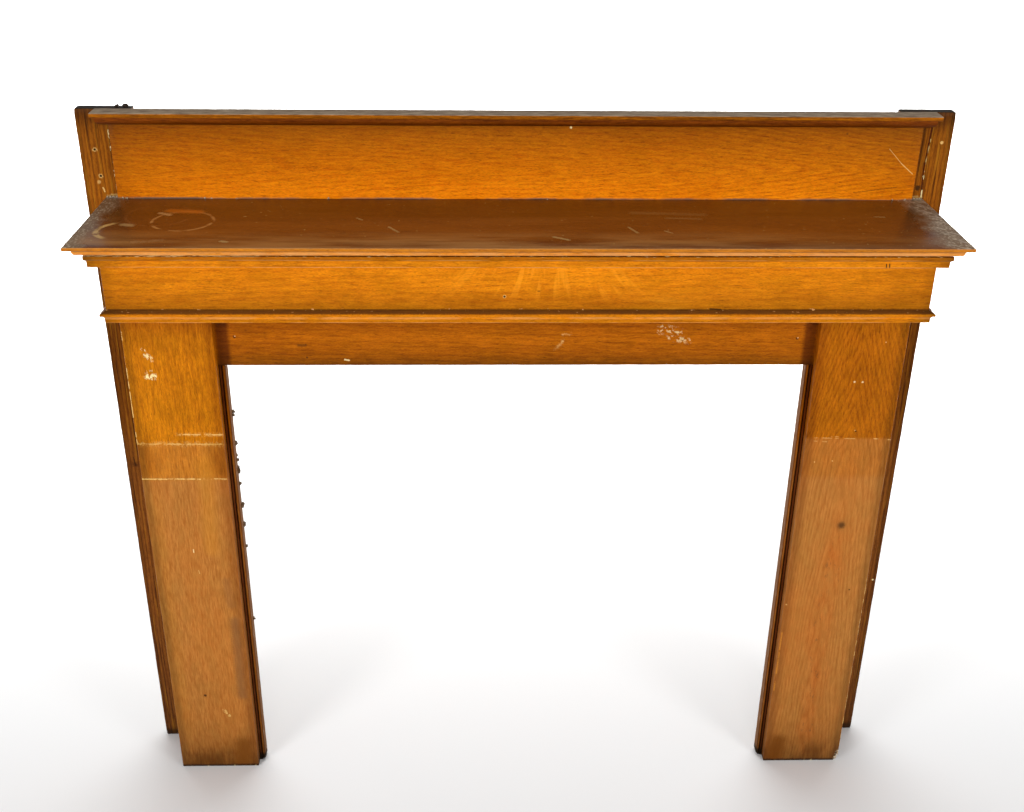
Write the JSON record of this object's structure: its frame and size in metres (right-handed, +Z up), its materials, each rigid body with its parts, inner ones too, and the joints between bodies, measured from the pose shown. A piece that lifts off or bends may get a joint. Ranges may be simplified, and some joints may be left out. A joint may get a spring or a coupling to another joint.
{
  "type": "fireplace mantel",
  "caption": "Wooden fireplace mantel with plain pilasters, a lintel round a square opening, a frieze box with mouldings, a deep shelf and a low capped overmantel panel.",
  "frame": {"origin": "middle of the footprint's bounding box, at floor level", "axes": "+X to the viewer's right along the mantel, +Y into the wall, +Z up; the front faces -Y"},
  "size_m": [1.598, 0.3042, 1.4505],
  "materials": {
    "oak_orange": "worn satin varnish",
    "oak_brown": "worn varnish, dull",
    "oak_dark": "dull, sooty and dusty"
  },
  "bodies": {
    "root": {"overmantel_panel": "oak_orange", "cap_moulding_front": "oak_orange", "cap_moulding_left_return": "oak_orange", "cap_moulding_right_return": "oak_orange", "shelf_board": "oak_orange", "bed_moulding_front": "oak_orange", "bed_moulding_left_return": "oak_orange", "bed_moulding_right_return": "oak_orange", "frieze_board": "oak_orange", "frieze_left_end": "oak_orange", "frieze_right_end": "oak_orange", "necking_front": "oak_orange", "necking_left_return": "oak_orange", "necking_right_return": "oak_orange", "left_side_plank": "oak_brown", "right_side_plank": "oak_brown", "left_pilaster": "oak_brown", "right_pilaster": "oak_brown", "left_outer_board": "oak_brown", "right_outer_board": "oak_brown", "lintel_board": "oak_brown", "cap_board": "oak_dark", "frieze_soffit": "oak_dark", "left_jamb_strip": "oak_dark", "right_jamb_strip": "oak_dark"}
  },
  "joints": []
}
